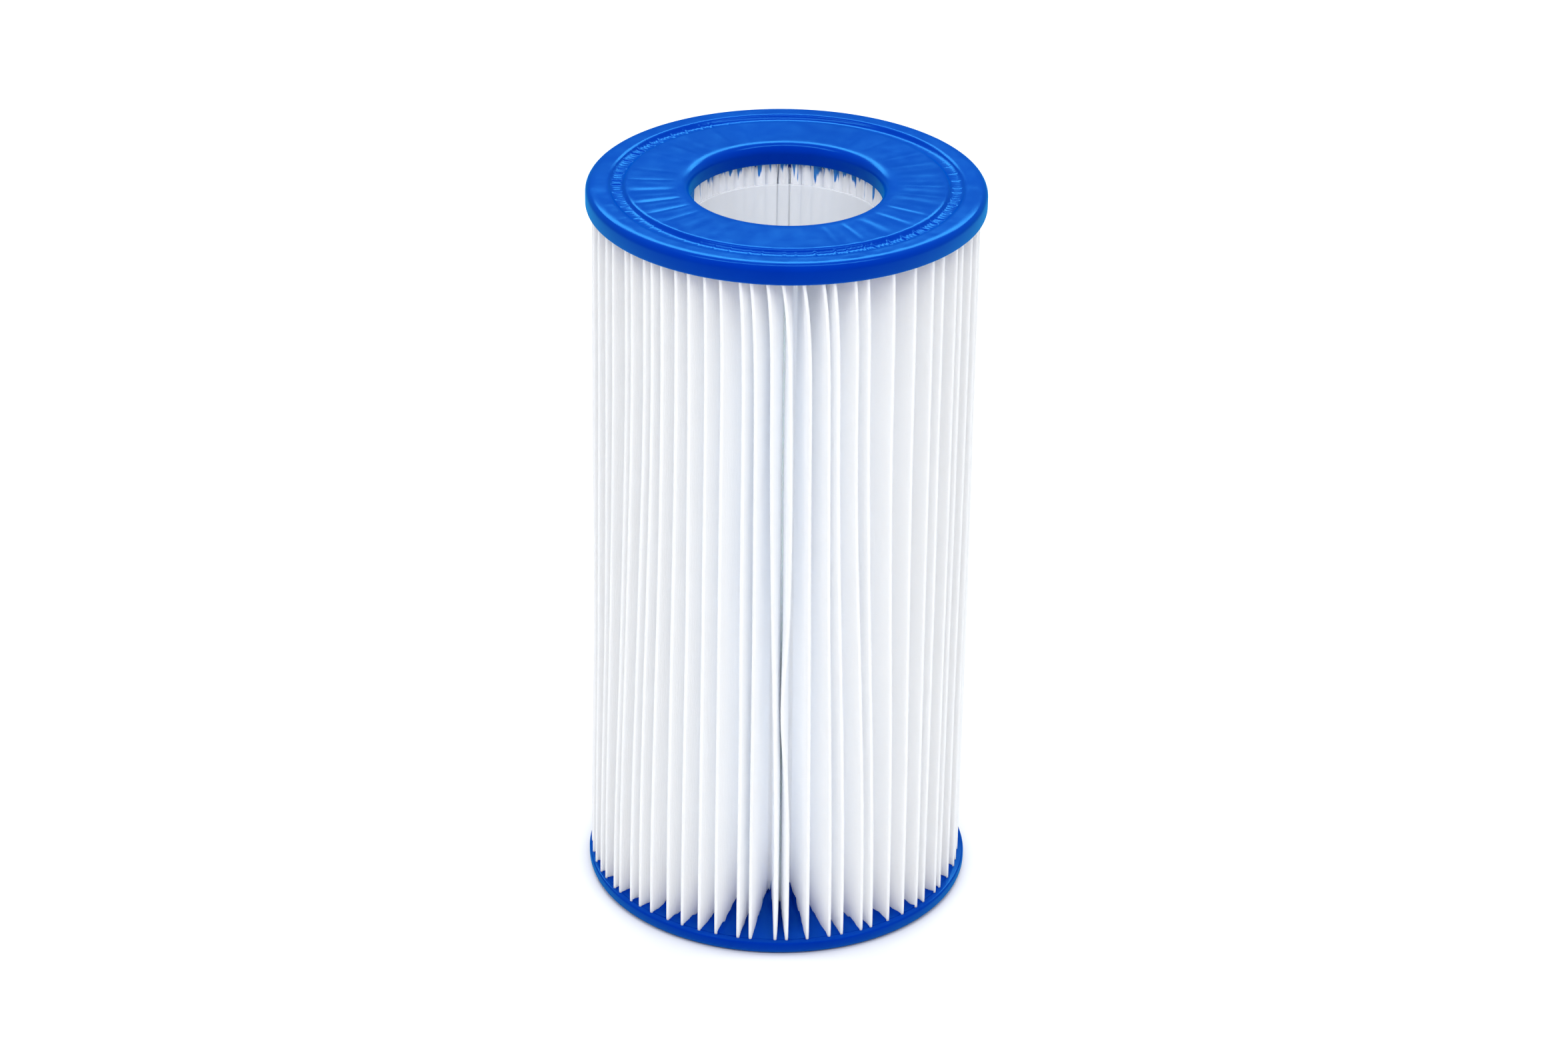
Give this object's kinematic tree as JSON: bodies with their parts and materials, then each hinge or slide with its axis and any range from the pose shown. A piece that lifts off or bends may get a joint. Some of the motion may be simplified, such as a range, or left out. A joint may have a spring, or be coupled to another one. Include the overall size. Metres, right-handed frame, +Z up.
{
  "type": "pleated filter cartridge",
  "caption": "Cylindrical pleated filter cartridge with two moulded end caps, a through bore and an open inner sleeve, for a small pool pump.",
  "frame": {"origin": "centre of the bottom end cap's outer face, on the bore's axis", "axes": "+Z up along the bore, from the bottom cap to the top cap; -Y towards the glued joint of the pleated pack, which is the front"},
  "size_m": [0.104, 0.104, 0.203],
  "materials": {
    "cap_plastic": "glossy soft moulded plastic, saturated blue",
    "filter_fabric": "spun-bonded polyester, smooth, white",
    "seam_adhesive": "cured hot-melt glue, cloudy",
    "core_plastic": "thin natural polypropylene, translucent"
  },
  "bodies": {
    "root": {"top_end_cap": "cap_plastic", "bottom_end_cap": "cap_plastic", "pleated_media": "filter_fabric", "media_seam": "seam_adhesive", "core_tube": "core_plastic"}
  },
  "joints": []
}
